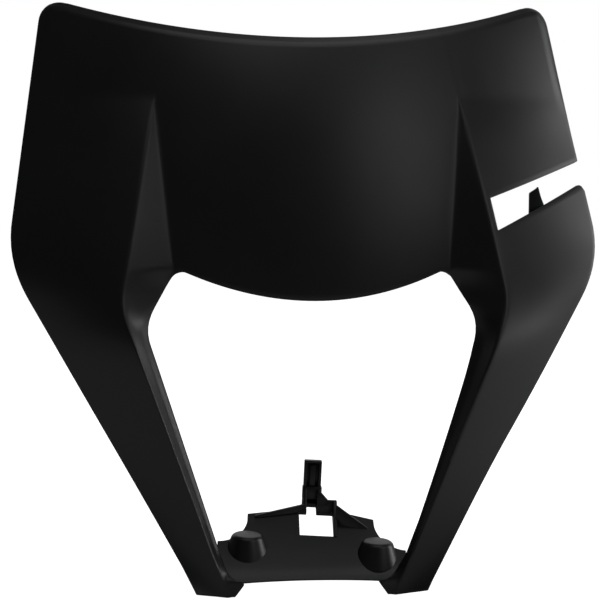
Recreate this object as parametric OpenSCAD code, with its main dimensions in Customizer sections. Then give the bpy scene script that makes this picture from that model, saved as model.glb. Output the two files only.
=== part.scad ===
// Headlight cowl of an off-road motorcycle: one moulded shell of black plastic.
// It is drawn standing upright with its front towards -Y. Heights are measured from the tips
// of its two legs, depths from the front edge of the tray, and widths from the middle plane.
// The finished part is moved at the end so that its origin is the middle of the clip window.

/* [Shell] */
// Wall thickness of the moulding
wall = 2.6; // [2.2:0.1:3]
// Radius of the sideways curve of the plate and the wings
plate_r = 200; // [180:5:240]
// Backward lean of the plate's lower edge, as depth for each mm of height
plate_lean = 0.05; // [0.03:0.01:0.08]
// Extra lean towards the top edge, as depth for each square mm of height
plate_arch = 0.00186; // [0.0014:0.00002:0.0022]
// Depth of the middle of the plate at its lower edge
plate_depth = -5.8; // [-8:0.2:-3]

/* [Outline] */
// Height of the top edge in the middle
top_h = 270.5; // [262:0.5:280]
// Radius of the hollow curve of the top edge
top_r = 400; // [350:10:500]
// Radius of the two top corners
top_corner_r = 13; // [8:1:16]
// Height of the widest part of the wings
waist_h = 161; // [156:1:166]
// Half width at the waist, before its corner is rounded
waist_x = 147; // [142:1:152]
// Softening of the waist corner
waist_soft = 13; // [8:1:18]
// Half width of the wings at the height of the ridge tips
wing_x = 136; // [132:1:140]
// Half width of the legs at their feet
foot_x = 56; // [53:1:59]
// Height of the outer corner of each foot
foot_rise = 3.5; // [2:0.5:5]

/* [Headlight opening] */
// Height of the lowest point of the plate, in the middle of the opening
brow_h = 143.9; // [140:0.5:147]
// Radius of the bulging lower edge of the plate
brow_r = 147; // [135:1:160]
// Half width of the opening at its upper corners
brow_x = 65.5; // [63:0.5:68]
// Radius of the opening's upper corners
brow_corner_r = 5; // [3:0.5:7]
// Height of the knees, where the opening is widest
knee_h = 131.8; // [128:0.5:135]
// Half width of the opening at the knees, before they are rounded
knee_x = 81.4; // [79:0.2:84]
// Softening of the knees
knee_soft = 8.5; // [5:0.5:12]
// Half width of the opening at the leg tips
tip_gap_x = 37.6; // [35:0.2:40]
// Width of the sloping lip along the inner edge of each leg
lip_w = 3.9; // [3:0.1:5]
// Depth that the lip drops for each mm of its width
lip_drop = 1.3; // [1:0.1:1.6]
// Share by which the right leg's inner side narrows for each mm down the leg
right_squeeze = 0.0058; // [0:0.0002:0.008]

/* [Ridges] */
// Height of the upper ends of the two ridges
ridge_top_h = 241; // [235:1:247]
// Half distance between the ridges at their upper ends
ridge_top_x = 75.5; // [73:0.5:78]
// Outward run of each ridge for each mm below its upper end
ridge_splay = 0.181; // [0.16:0.005:0.2]
// Half distance between the ridges at the leg tips
ridge_foot_x = 41; // [39:0.5:43]
// Inward run of each ridge for each mm below the knee
leg_splay = 0.368; // [0.35:0.002:0.38]
// Widening of the slanted facet beside each ridge for each mm below the ridge's upper end
facet_splay = 0.28; // [0.26:0.01:0.34]
// How far each ridge stands out of the plate's curve for each mm below its upper end
ridge_proud = 0.229; // [0.2:0.005:0.25]
// Depth of the ridge below the knee
shin_depth = -15; // [-18:0.5:-12]
// Backward run of the ridge for each mm down the leg
shin_lean = 0.13; // [0.1:0.01:0.16]
// Half width of the rounding of each ridge
ridge_round = 0.9; // [0.6:0.1:1.4]
// Half width of the rounding of each valley
valley_round = 2.4; // [1.6:0.2:3]

/* [Wings] */
// Depth of the outer edge at the feet
foot_back = 6; // [4:1:8]
// Backward run of the outer edge up the lower leg, for each mm
leg_rake = 0.06; // [0.04:0.01:0.1]
// Depth of the outer edge just below the waist
fold_back = 20.5; // [18:0.5:24]
// Height of that point
fold_h = 142; // [138:1:146]
// Backward run of the outer edge past the fold, for each mm
fold_rake = 0.22; // [0.18:0.01:0.26]
// Depth of the outer edge above the waist
wing_back = 28; // [25:0.5:32]
// Height of that point
wing_h = 170; // [166:1:174]
// Backward run of the outer edge up the wing, for each mm
wing_rake = 0.53; // [0.48:0.01:0.58]

/* [Hose slot] */
// Height of the slot's upper edge at the ridge
slot_top_h = 192; // [188:0.5:196]
// Rise of the slot's upper edge for each mm outwards
slot_top_rise = 0.32; // [0.28:0.01:0.36]
// Height of the slot's lower edge at the ridge
slot_low_h = 176; // [172:0.5:180]
// Rise of the slot's lower edge for each mm outwards
slot_low_rise = 0.435; // [0.4:0.005:0.48]
// Sideways distance of the slot's inner end from the ridge
slot_gap = 2.7; // [2:0.1:4]
// Radius of the lower wing's corner beside the slot
slot_corner_r = 5; // [3:0.5:7]
// Distance of the hook from the middle plane
hook_x = 110.5; // [106:0.5:116]
// Width of the hook in the slot
hook_w = 6.4; // [5:0.2:8]
// Height of the hook above the slot's lower edge
hook_h = 9.5; // [7:0.5:11]
// Thickness of the hook
hook_t = 2.2; // [1.8:0.1:3]

/* [Tray] */
// Height of the tray's front edge
tray_h = 6.6; // [5:0.2:8]
// Extra height that the steeper front part of the tray climbs
chin_rise = 4.6; // [3:0.2:6]
// Depth over which the steeper front part flattens out
chin_run = 6; // [4:0.5:8]
// Climb of the tray for each mm of depth
tray_climb = 0.544; // [0.5:0.004:0.6]
// Depth of the tray's rear corners
tray_corner_d = 38; // [36:0.5:40]
// Depth of the tray's rear edge at the clip
tray_rear_d = 43.6; // [42:0.2:45]
// Half width of the tray's rear edge
tray_rear_x = 31.2; // [30:0.2:32]
// Half width of the tray's front edge
tray_front_x = 33; // [31:0.5:35]
// Half width of the tray where it meets the legs
tray_root_x = 46.5; // [45:0.5:48]
// Depth of the tray where it meets the legs
tray_root_d = 6; // [5:0.5:7]
// Depth of the front end of the hollow curve at each rear corner
notch_d = 18.4; // [17:0.2:20]
// Length of that curve from front to back
notch_l = 17.6; // [15:0.2:18]
// Sideways offset of the tray
tray_x = 0.4; // [-1:0.1:2]
// Turn of the tray's rear edge, domes and clip about its front edge, the right side forward
tray_turn = 5; // [0:0.5:7]

/* [Domes] */
// Half distance between the two domes
dome_x = 32; // [30:0.5:34]
// Depth of the middle of each dome
dome_d = 16; // [14:0.5:17]
// Height of the middle of each dome's flat top above the tray
dome_rise = 5.8; // [5:0.2:7]
// Radius of a dome's flat top
dome_top_r = 7.4; // [6:0.2:8]
// Radius of a dome at its base
dome_base_r = 12; // [11.2:0.2:13]
// Length of the cone from its base to its top
dome_len = 12.5; // [11:0.5:14]
// Forward pitch of the domes' tops
dome_pitch = 6; // [2:1:10]
// Radius of the hollow under each dome, at its closed end
dome_core_r = 4.8; // [4:0.2:5.2]

/* [Clip] */
// Distance of the clip and its window from the middle plane
clip_x = 2.7; // [1.5:0.2:3.9]
// Width of the window
window_w = 16.8; // [15:0.2:18]
// Depth of the window's front edge
window_d = 25.1; // [24:0.1:27]
// Length of the window from front to back
window_l = 16.4; // [15:0.1:17]
// Width of the clip's post
post_w = 8.8; // [8:0.2:9.6]
// Sideways distance from the middle of the window to the middle of the post
post_shift = 2.1; // [1.5:0.1:2.5]
// Height of the top of the post
post_h = 58.6; // [55:0.2:62]
// Front-to-back size of the post
post_t = 5; // [4:0.2:6]
// Wall of the post's channel
post_wall = 1.5; // [1.2:0.1:1.8]
// Width of the rib in the channel
rib_w = 3; // [2:0.2:3.6]
// Height of the underside of the post's collar
collar_h = 39; // [38.4:0.2:41]
// Height of the collar
collar_t = 6.6; // [5:0.2:8]
// Height of the top of the panel beside the post
panel_h = 39.8; // [38:0.2:41]
// Thickness of the panel and of the ribs that carry the clip
panel_t = 2; // [1.6:0.1:2.4]

/* [Hidden] */

plastic = "#26272a";
eps = 0.01;
reach = 400;
side_step = 6;
slot_reach = 20;
facet_min = 1.5;
shell_foot_h = -6;
shell_top_h = 300;

// The smaller or the larger of two values, with the change from one to the other rounded
function soft_min(a, b, k) = min(a, b) - pow(max(k - abs(a - b), 0), 2) / (4 * k);
function soft_max(a, b, k) = -soft_min(-a, -b, k);
function mix(a, b, t) = a + (b - a) * t;

// Widths at a height: the outer edge, the edge of the opening and the ridge
function outer_x(h) = soft_min(waist_x - (waist_x - wing_x) * (h - waist_h) / (ridge_top_h - waist_h),
    waist_x + (waist_x - foot_x) * (h - waist_h) / (waist_h - foot_rise), waist_soft);
function brow_top_h() = brow_h + brow_x * brow_x / (2 * brow_r);
function inner_x(h) = soft_min(knee_x - (knee_x - brow_x) * (h - knee_h) / (brow_top_h() - knee_h),
    knee_x + (knee_x - tip_gap_x) * (h - knee_h) / knee_h, knee_soft);
function ridge_x(h) = soft_min(ridge_top_x + ridge_splay * (ridge_top_h - h),
    ridge_foot_x + leg_splay * h, 4);

// Depths at a height: the plate, the ridge, the inner fold of the leg and the outer edge
function plate_y(x, h) = plate_depth + x * x / (2 * plate_r)
    + plate_lean * (h - lean_h) + plate_arch * pow(max(h - lean_h, 0), 2);
function ridge_y(h) = soft_max(plate_y(ridge_x(h), h) - ridge_proud * max(ridge_top_h - h, 0),
    h > shin_top_h ? -reach : shin_depth + shin_lean * (shin_h - h), 6);
function outer_y(h) = soft_min(plate_y(outer_x(h), h),
    soft_max(soft_max(foot_back + leg_rake * h, fold_back + fold_rake * (h - fold_h), 4),
        wing_back + wing_rake * (h - wing_h), 6), 5);
lean_h = 140;
shin_h = 115;
shin_top_h = 135;
split_h = brow_top_h() - 3;
foot_fold = 6;
shin_fold = -5;
squeeze_h = 122;
squeeze_min = 0.5;

// The lip grows from nothing beside the brow to its full width below the knee
function lip(h) = lip_w * min(1, max(0.1, (brow_h - 3 - h) / 22));
// Inner boundary of the slanted facet: the plate's valley above, the fold along the lip below
function fold_x(h) = h > split_h ? ridge_x(h) - max(facet_splay * (ridge_top_h - h), facet_min)
    : inner_x(h) + min(lip(h), (ridge_x(h) - inner_x(h)) / 2);
function fold_y(h) = h > split_h ? plate_y(fold_x(h), h)
    : lookup(h, [[0, foot_fold], [shin_h, shin_fold], [split_h, plate_y(fold_x(split_h + eps), split_h)]]);

// Main points of the shell's front line at one height, from the middle outwards
inside = [0, 0.25, 0.5, 0.75, 1];
function plate_pts(h) = h > split_h
    ? [for (k = inside) let (x = fold_x(h) * 0.97 * k) [x, plate_y(x, h)]]
    : [for (k = inside) let (x = (inner_x(h) - 1.2) * k)
        [x, mix(plate_y(x, h), fold_y(h) + lip_drop * (fold_x(h) - x), pow(k, 6))]];
function wing_y(x, h) = let (r = ridge_x(h), o = outer_x(h))
    mix(ridge_y(h), outer_y(h), (x - r) / (o - r)) - (x - r) * (o - x) / (2 * plate_r);
function wing_pts(h) = let (r = ridge_x(h), o = outer_x(h) + side_step)
    [for (k = [0.25:0.25:1]) [mix(r, o, k), wing_y(mix(r, o, k), h)]];
// The part inside the ridge is drawn k times as large, measured from the ridge
function squeeze(h) = max(squeeze_min, 1 - right_squeeze * max(squeeze_h - h, 0));
function front_pts(h, k) = let (r = [ridge_x(h), ridge_y(h)])
    concat([for (p = concat(plate_pts(h), [[fold_x(h), fold_y(h)]])) r + (p - r) * k], [r], wing_pts(h));

// Points of the back line: each front point moved back by the wall, square to the line
function square_to(a, b) = let (d = (b - a) / norm(b - a)) [-d[1], d[0]];
function back_pt(l, i) = let (n = i == 0 ? [0, 1] : square_to(l[i - 1], l[i]),
        m = i == len(l) - 1 ? n : square_to(l[i], l[i + 1]))
    l[i] + wall * 2 * (n + m) / ((n + m) * (n + m));
function back_pts(l) = [for (i = [0:len(l) - 1]) back_pt(l, i)];

// A bend made of three points in place of one, w to either side of it
function step_to(a, b, w) = a + (b - a) * min(w / norm(b - a), 0.3);
function bend(l, i, w) = let (a = step_to(l[i], l[i - 1], w), b = step_to(l[i], l[i + 1], w))
    [a, (a + 2 * l[i] + b) / 4, b];
function soften(l) = [for (i = [0:len(l) - 1])
    each i == 5 ? bend(l, i, valley_round) : i == 6 ? bend(l, i, ridge_round) : [l[i]]];
function joined(l, r) = concat([for (i = [len(l) - 1:-1:1]) [-l[i][0], l[i][1]]], r);
function backwards(l) = [for (i = [len(l) - 1:-1:0]) l[i]];
function ring(h) = let (l = front_pts(h, 1), r = front_pts(h, squeeze(h)))
    [for (p = concat(joined(soften(l), soften(r)),
            backwards(joined(soften(back_pts(l)), soften(back_pts(r))))))
        [p[0], p[1], h]];

// The whole shell as one sheet, wider and taller than its outline, with no opening yet
rows = [each [shell_foot_h:15:99], each [104:5:split_h - 1],
    for (k = [0:9]) mix(split_h + 2 * eps, ridge_top_h, k / 9),
    for (k = [1:6]) mix(ridge_top_h, shell_top_h, k / 6)];
module sheet() {
    rings = [for (h = rows) ring(h)];
    n = len(rings[0]);
    last = len(rings) - 1;
    half = n / 2;
    polyhedron([for (r = rings) each r], concat(
        [for (j = [0:last - 1], i = [0:n - 1]) let (a = j * n, k = (i + 1) % n)
            [a + i, a + n + i, a + n + k]],
        [for (j = [0:last - 1], i = [0:n - 1]) let (a = j * n, k = (i + 1) % n)
            [a + i, a + n + k, a + k]],
        [for (i = [0:half - 2]) [i, i + 1, n - 1 - i]],
        [for (i = [0:half - 2]) [i + 1, n - 2 - i, n - 1 - i]],
        [for (i = [0:half - 2]) [last * n + i, last * n + n - 1 - i, last * n + i + 1]],
        [for (i = [0:half - 2]) [last * n + i + 1, last * n + n - 1 - i, last * n + n - 2 - i]]));
}

// Front views: x is the width and y the height
module mirrored() {
    children();
    mirror([1, 0]) children();
}
module body_2d() {
    top = [for (x = [outer_x(top_h):-side_step:0]) [x, top_h + x * x / (2 * top_r)]];
    side = [for (h = [foot_rise:side_step:top_h]) [outer_x(h), h]];
    polygon(concat([[0, 0], [ridge_foot_x + 1, 0]], side, top, [[0, top_h]]));
}
module outline_2d() {
    offset(r = top_corner_r, $fn = 48) offset(delta = -top_corner_r) mirrored() body_2d();
    mirrored() intersection() {
        body_2d();
        square([reach, split_h]);
    }
}
module opening_2d() {
    brow = [for (x = [0:side_step:brow_x]) [x, brow_h + x * x / (2 * brow_r)]];
    hs = [for (h = [brow_top_h():-side_step:0]) h];
    left = [for (h = hs) [inner_x(h), h]];
    right = [for (h = hs) [mix(ridge_x(h), inner_x(h), squeeze(h)), h]];
    offset(r = brow_corner_r, $fn = 32) offset(delta = -brow_corner_r) {
        mirror([1, 0]) polygon(concat(brow, left, [[tip_gap_x, -reach], [0, -reach]]));
        polygon(concat(brow, right, [[mix(ridge_foot_x, tip_gap_x, squeeze_min), -reach], [0, -reach]]));
    }
}
function slot_low(x) = slot_low_h + slot_low_rise * (x - ridge_x(slot_low_h));
function slot_top(x) = slot_top_h + slot_top_rise * (x - ridge_x(slot_top_h));
module slot_2d() {
    low_x = ridge_x(slot_low_h) + slot_gap;
    top_x = ridge_x(slot_top_h) + slot_gap;
    end_x = waist_x + slot_reach;
    polygon([[low_x, slot_low(low_x)], [end_x, slot_low(end_x)], [end_x, slot_top(end_x)],
        [top_x, slot_top(top_x)]]);
    wing_corner_2d();
}
// Trims the corner of the lower wing beside the slot to a round one
module wing_corner_2d() {
    x = outer_x(slot_low(waist_x));
    difference() {
        translate([x - 8, slot_low(x) - 8]) square([16, 10]);
        offset(r = slot_corner_r, $fn = 32) offset(delta = -slot_corner_r) polygon([[0, 0],
            [outer_x(slot_low_h), slot_low_h - 20], [x, slot_low(x)], [0, slot_low(0)]]);
    }
}
module upright(depth_0, depth_1) translate([0, depth_1, 0]) rotate([90, 0, 0])
    linear_extrude(depth_1 - depth_0) children();
module shell() {
    intersection() {
        sheet();
        upright(-reach / 4, reach / 2) difference() {
            outline_2d();
            opening_2d();
            slot_2d();
        }
    }
}

// Small hook that stands in the slot behind the lower wing
module hook() {
    low = slot_low(hook_x) - 6;
    back = wing_y(hook_x + hook_w, slot_low(hook_x)) + wall / 2;
    upright(back, back + hook_t) polygon([[hook_x - 1, low], [hook_x + hook_w + 1, low],
        [hook_x + hook_w, slot_low(hook_x + hook_w)],
        [hook_x + hook_w - 1.6, slot_low(hook_x) + hook_h * 0.7],
        [hook_x + hook_w - 3, slot_low(hook_x) + hook_h + 2.2],
        [hook_x + 2.4, slot_low(hook_x) + hook_h + 1.2], [hook_x - 1, slot_low(hook_x) + hook_h - 1]]);
}

// The tray's upper surface: a steep chin in front that flattens towards the back
function tray_top(d) = tray_h + chin_rise * (1 - exp(-d / chin_run)) + tray_climb * d;
function tray_slope(d) = chin_rise / chin_run * exp(-d / chin_run) + tray_climb;
function tray_under(d) = let (s = tray_slope(d)) [d, tray_top(d)] + wall * [s, -1] / norm([s, 1]);
function tray_ds() = [each [0:1.5:9], each [12:4:tray_end_d], tray_end_d + side_step];
function nose() = [0.7, tray_h - 0.6];
function underside() = [for (d = tray_ds()) if (d >= 3) tray_under(d)];
module side_profile(x, t) translate([x, 0, 0]) rotate([90, 0, 90]) linear_extrude(t) children();
module tray_plate() {
    intersection() {
        side_profile(-tray_root_x - 2, 2 * tray_root_x + 4)
            polygon(concat([for (d = tray_ds()) [d, tray_top(d)]], backwards(underside()), [nose()]));
        linear_extrude(reach / 4) tray_2d();
    }
}
// Where a place on the tray lands when the tray is turned about the middle of its front edge
function turned(p) = [tray_x + p[0] * cos(tray_turn) + p[1] * sin(tray_turn),
    p[1] * cos(tray_turn) - p[0] * sin(tray_turn)];
// The tray's outline seen from above: x is the width and y the depth
module tray_2d() {
    notch_r = tray_root_x - tray_rear_x;
    clip_end_x = clip_x + window_w / 2 + 2;
    difference() {
        polygon(concat([for (x = [-tray_front_x:side_step:tray_front_x]) [tray_x + x, hollow_front(x)]],
            [for (t = [0:15:90])
                [tray_x + mix(tray_front_x, tray_root_x, sin(t)), tray_root_d * (1 - cos(t))]],
            [for (p = [[tray_root_x, tray_corner_d], [tray_rear_x, tray_corner_d],
                [clip_end_x, tray_rear_d - 1], [post_x + post_w, tray_rear_d], [post_x + post_w, tray_end_d],
                [post_x, tray_end_d], [post_x, tray_rear_d], [-tray_rear_x, tray_corner_d],
                [-tray_root_x, tray_corner_d]])
                turned(p)],
            [for (t = [90:-15:0])
                [tray_x - mix(tray_front_x, tray_root_x, sin(t)), tray_root_d * (1 - cos(t))]]));
        for (side = [-1, 1]) translate(turned([side * (tray_root_x + 0.3), notch_d + notch_l]))
            rotate(-tray_turn) {
                scale([1, notch_l / notch_r]) circle(notch_r, $fn = 64);
                translate([-notch_r + 0.1, 0]) square([2 * notch_r, reach]);
            }
    }
}
function hollow_front(x) = 0.7 * (1 - pow(x / tray_front_x, 2));

// Stands its children on the tray, turned within the tray's own slope
function tray_spot(x, d) = let (p = turned([x, d])) [p[0], p[1], tray_top(p[1])];
module on_tray(x, d) translate(tray_spot(x, d)) rotate(a = -tray_turn, v = [0, -tray_climb, 1]) children();

module at_dome(side) on_tray(side * dome_x, dome_d) translate([0, 0, dome_rise])
    rotate([dome_pitch, 0, 0]) children();
module domes() {
    intersection() {
        for (side = [-1, 1]) at_dome(side) translate([0, 0, -dome_len])
            cylinder(h = dome_len, r1 = dome_base_r, r2 = dome_top_r, $fn = 64);
        // the space above the tray's underside
        side_profile(-reach / 4, reach / 2)
            polygon(concat([nose()], underside(), [[tray_end_d, reach / 4], [0, reach / 4]]));
    }
}
module dome_cores() {
    flare = (dome_base_r - dome_top_r) / dome_len;
    deep = dome_len + 8;
    for (side = [-1, 1]) at_dome(side) translate([0, 0, -deep - wall])
        cylinder(h = deep, r1 = dome_core_r + flare * deep, r2 = dome_core_r, $fn = 64);
}

// Clip at the back of the tray: window, side wall, panel, post and the ribs that brace them
window_back = window_d + window_l;
post_d = window_back + 5.5;
tray_end_d = post_d + post_t;
post_x = clip_x - post_shift - post_w / 2;
notch_w = 4.8;
mid_d = window_d + window_l / 2;
module window_cut() {
    translate([clip_x - window_w / 2, window_d, 0]) cube([window_w, window_l, reach / 4]);
    translate([post_x + (post_w - notch_w) / 2, window_d, 0]) cube([notch_w, post_d - window_d, reach / 4]);
}
module clip() {
    edge_x = clip_x + window_w / 2;
    low = tray_top(window_back) - 1;
    // panel at the back edge of the window
    translate([post_x + post_w - panel_t, window_back, low])
        cube([edge_x + panel_t - post_x - post_w + panel_t, panel_t, panel_h - low]);
    // wall along the right side of the window
    side_profile(edge_x, panel_t) polygon([[window_d - 1, tray_top(window_d) - wall],
        [window_d - 1, tray_top(window_d) + 0.4], [window_back, panel_h], [window_back + panel_t, panel_h],
        [window_back + panel_t, low - 1]]);
    // side walls of the post's foot
    for (x = [post_x, post_x + post_w - 1.8]) side_profile(x, 1.8) polygon([[window_back, low],
        [window_back, low + 1.5], [post_d, collar_h + collar_t], [tray_end_d, collar_h + collar_t],
        [tray_end_d, tray_top(tray_end_d) - wall], [window_back + 2, low - 1]]);
    // back wall and collar
    translate([post_x, tray_end_d - panel_t, tray_top(tray_end_d) - wall])
        cube([post_w, panel_t, collar_h - tray_top(tray_end_d) + wall + 1]);
    translate([post_x - 0.4, post_d - 0.6, collar_h])
        cube([post_w + 0.9, tray_end_d - post_d + 0.6, collar_t]);
    // channel with its rib
    difference() {
        translate([post_x, post_d, collar_h]) cube([post_w, post_t, post_h - collar_h]);
        translate([post_x + post_wall, post_d - 1, collar_h + collar_t])
            cube([post_w - 2 * post_wall, post_t - post_wall + 1, post_h - collar_h - collar_t - 1]);
    }
    translate([post_x + (post_w - rib_w) / 2, post_d + 0.8, collar_h + collar_t - 1])
        cube([rib_w, post_t - 1, post_h - collar_h - collar_t - 1.4]);
    // brace between the panel and the post
    upright(window_back, window_back + panel_t) polygon([[post_x + post_w - panel_t, panel_h - 3],
        [post_x + post_w - panel_t, collar_h + collar_t - 2], [post_x + post_w, collar_h + collar_t - 2],
        [post_x + post_w + 3.6, panel_h], [post_x + post_w + 3.6, panel_h - 3]]);
    // bracing ribs to either side
    brace([post_x + 0.5, window_back + 1], [3 - tray_rear_x, tray_corner_d - 1], 3.2);
    brace([edge_x + 1, window_back - 8.4], [tray_rear_x - 2.8, window_back - 10.8], 9.8);
}
// A rib that stands on the tray and falls from its first end to its second one
module brace(from, to, rise) translate([from[0], from[1], 0]) rotate(atan2(to[1] - from[1], to[0] - from[0]))
    upright(0, panel_t) polygon([[0, tray_top(from[1]) - 1], [0, tray_top(from[1]) + rise],
        [norm(to - from), tray_top(to[1]) + 0.4], [norm(to - from), tray_top(to[1]) - 1]]);
// Puts its children, drawn as if the tray were straight, on the turned tray
module with_clip() on_tray(clip_x, mid_d) translate([-clip_x, -mid_d, -tray_top(mid_d)]) children();

// Web between each leg tip and the tray's front corner
module webs() {
    for (side = [-1, 1]) hull() for (p = [[tray_front_x + 0.6, 1.4, tray_h - 0.8], [tip_gap_x + 1, 2, 1],
        [ridge_foot_x + 3, 8, 6], [ridge_foot_x + 4.8, 2.5, 12.5],
        [tray_root_x - 0.5, tray_root_d + 1, tray_top(tray_root_d) - 2]])
        translate([side * p[0], p[1], p[2]]) sphere(1.2, $fn = 12);
}

module tray() {
    difference() {
        union() {
            tray_plate();
            domes();
            with_clip() clip();
        }
        dome_cores();
        with_clip() window_cut();
    }
}

module cowl() {
    color(plastic) translate(-tray_spot(clip_x, mid_d)) {
        shell();
        hook();
        tray();
        webs();
    }
}

cowl();
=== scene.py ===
# %% [markdown]
# # A headlight cowl, step by step
#
# The object is the plastic mask that frames the headlight of an off-road motorbike. It is
# one moulding: a wide plate over the lamp, two wings that fold back, two legs, and between
# the legs a tray with a clip. A construction model of it is loaded first. The steps below
# then make its visible surfaces, give them a plastic finish, and light them for a picture.

# %% Load the construction model
import bpy
import bmesh
from math import radians, sin, cos, tan, exp, sqrt
from mathutils import Matrix, Vector


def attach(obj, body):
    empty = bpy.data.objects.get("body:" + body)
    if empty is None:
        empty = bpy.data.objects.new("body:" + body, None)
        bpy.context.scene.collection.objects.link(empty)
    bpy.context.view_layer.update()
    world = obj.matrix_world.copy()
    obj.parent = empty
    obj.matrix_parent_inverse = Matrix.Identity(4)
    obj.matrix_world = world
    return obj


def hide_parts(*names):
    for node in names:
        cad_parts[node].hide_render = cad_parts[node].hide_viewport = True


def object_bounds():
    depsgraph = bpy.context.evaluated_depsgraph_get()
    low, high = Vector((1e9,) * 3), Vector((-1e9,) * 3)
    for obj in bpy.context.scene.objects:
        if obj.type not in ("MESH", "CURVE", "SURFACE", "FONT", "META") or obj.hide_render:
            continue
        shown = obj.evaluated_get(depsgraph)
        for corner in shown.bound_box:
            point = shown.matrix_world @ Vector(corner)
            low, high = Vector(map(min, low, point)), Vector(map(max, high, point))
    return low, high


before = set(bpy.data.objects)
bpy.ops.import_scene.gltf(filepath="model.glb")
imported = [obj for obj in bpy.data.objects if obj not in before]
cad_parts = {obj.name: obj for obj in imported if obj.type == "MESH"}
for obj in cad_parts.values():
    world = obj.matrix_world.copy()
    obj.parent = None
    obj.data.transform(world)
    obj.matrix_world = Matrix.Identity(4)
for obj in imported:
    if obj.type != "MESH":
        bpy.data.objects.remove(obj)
cad_low, cad_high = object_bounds()
print("construction model spans", [round(c * 1000, 1) for c in cad_high - cad_low], "mm")

# %% [markdown]
# ## Measurements
#
# Lengths are in millimetres and are turned into metres only when a mesh is finished. They
# are measured from the tips of the legs upwards, from the tray's front edge backwards and
# from the middle plane outwards. The origin is the middle of the clip's window in the tray,
# so one vector moves a finished piece there.
#
# The tray's top starts low at the front edge, climbs fast over the chin and then evenly.
# The whole tray is turned a little about its front edge, as in the photograph.

# %% The tray's height at a depth, its turn, and the origin
WALL = 2.6
TRAY_H, CHIN_RISE, CHIN_RUN, TRAY_CLIMB = 6.6, 4.6, 6, 0.544
TRAY_SHIFT, TRAY_TURN = 0.4, radians(5)
CLIP_X, CLIP_D = 2.7, 33.3
MM_PER_M = 1000


def tray_top(d):
    return TRAY_H + CHIN_RISE * (1 - exp(-d / CHIN_RUN)) + TRAY_CLIMB * d


def turned(x, d):
    return (TRAY_SHIFT + x * cos(TRAY_TURN) + d * sin(TRAY_TURN),
            d * cos(TRAY_TURN) - x * sin(TRAY_TURN))


def tray_spot(x, d):
    x, d = turned(x, d)
    return Vector((x, d, tray_top(d)))


ORIGIN = tray_spot(CLIP_X, CLIP_D)
print("the origin is", [round(c, 2) for c in ORIGIN], "mm from the legs' tips")

# %% [markdown]
# ## Camera
#
# The photograph was taken from a little over a metre away, from slightly to the left and
# slightly above. A camera is easy to place when it is written as an angle around the
# object, an angle above it and a distance, because those are what a photographer chooses.
# The long focal length keeps the two sides of the cowl nearly the same size. The lens
# follows from the width that the picture shows at the object.

# %% Place the camera
AZIMUTH, ELEVATION, ROLL, DISTANCE = radians(-7), radians(5), radians(0.4), 1.1
TARGET = (-7, 0, 144)
SENSOR, VIEW_WIDTH = 36, 0.288


def aimed(place, direction):
    return Matrix.Translation(place) @ direction.to_track_quat("-Z", "Y").to_matrix().to_4x4()


target = (Vector(TARGET) - ORIGIN) / MM_PER_M
back = Vector((sin(AZIMUTH) * cos(ELEVATION), -cos(AZIMUTH) * cos(ELEVATION), sin(ELEVATION)))
camera_data = bpy.data.cameras.new("camera")
camera_data.sensor_width = SENSOR
camera_data.lens = SENSOR * DISTANCE / VIEW_WIDTH
camera = bpy.data.objects.new("camera", camera_data)
camera.matrix_world = aimed(target + back * DISTANCE, -back) @ Matrix.Rotation(ROLL, 4, "Z")
bpy.context.scene.collection.objects.link(camera)
bpy.context.scene.camera = camera
print("camera lens", round(camera_data.lens, 1), "mm")

# %% [markdown]
# ## Soft corners between straight lines
#
# Seen from the front, the edges of the cowl are nearly straight lines with rounded corners.
# Each line is written down as a height, its distance there and how much that changes with
# each millimetre of height. The smaller of two such lines has a corner where they cross,
# and softening the change from one to the other rounds it.

# %% Helpers for lines and for changes from one value to another
def line(at, h):
    height, value, slope = at
    return value + slope * (h - height)


def soft_min(a, b, rounding):
    return min(a, b) - max(rounding - abs(a - b), 0) ** 2 / (4 * rounding)


def soft_max(a, b, rounding):
    return -soft_min(-a, -b, rounding)


def mix(a, b, t):
    return a + (b - a) * t


def ease(a, b, x):
    t = min(max((x - a) / (b - a), 0), 1)
    return t * t * (3 - 2 * t)


# %% [markdown]
# ## The shell's widths
#
# Four lines run up each half of the shell: the edge of the opening, the fold beside it, the
# ridge and the outer edge. The ridge starts near the leg's tip and ends in a point below the
# top edge, where it is level with the plate.

# %% Half widths at a height
CORNER_H, RIDGE_TIP_H = 158.5, 241
WING_EDGE, LEG_EDGE = (161, 147, -11 / 80), (161, 147, 91 / 158.5)
UPPER_OPENING, LOWER_OPENING = (131.8, 81.4, -15.9 / 26.7), (131.8, 81.4, 43.8 / 131.8)
UPPER_RIDGE, LOWER_RIDGE = (RIDGE_TIP_H, 75.5, -0.181), (0, 41, 0.368)


def outer_x(h):
    return soft_min(line(WING_EDGE, h), line(LEG_EDGE, h), rounding=13)


def inner_x(h):
    return soft_min(line(UPPER_OPENING, h), line(LOWER_OPENING, h), rounding=8.5)


def ridge_x(h):
    return soft_min(line(UPPER_RIDGE, h), line(LOWER_RIDGE, h), rounding=4)


print("ridges", round(2 * ridge_x(150)), "mm apart, wings", round(2 * outer_x(161)), "mm wide")

# %% [markdown]
# ## The plate's, the ridges' and the wings' depths
#
# Seen from above, the plate is a shallow curve, and it leans further back the higher it
# gets. The ridges stand out of that curve, most of all beside the headlight, and from each
# ridge the wing runs back to the outer edge.

# %% Depths at a height
PLATE_D, PLATE_BEND, LEAN_H, LEAN, LEAN_GROWTH = -5.8, 400, 140, 0.05, 0.00186
RIDGE_PROUD = 0.229
SHIN, SHIN_DIP, DIP_FROM, DIP_TO = (115, -15, -0.13), 6, 130, 180
LEG_BACK, KNEE_BACK, WING_BACK = (0, 6, 0.06), (142, 20.5, 0.22), (170, 28, 0.53)


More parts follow.
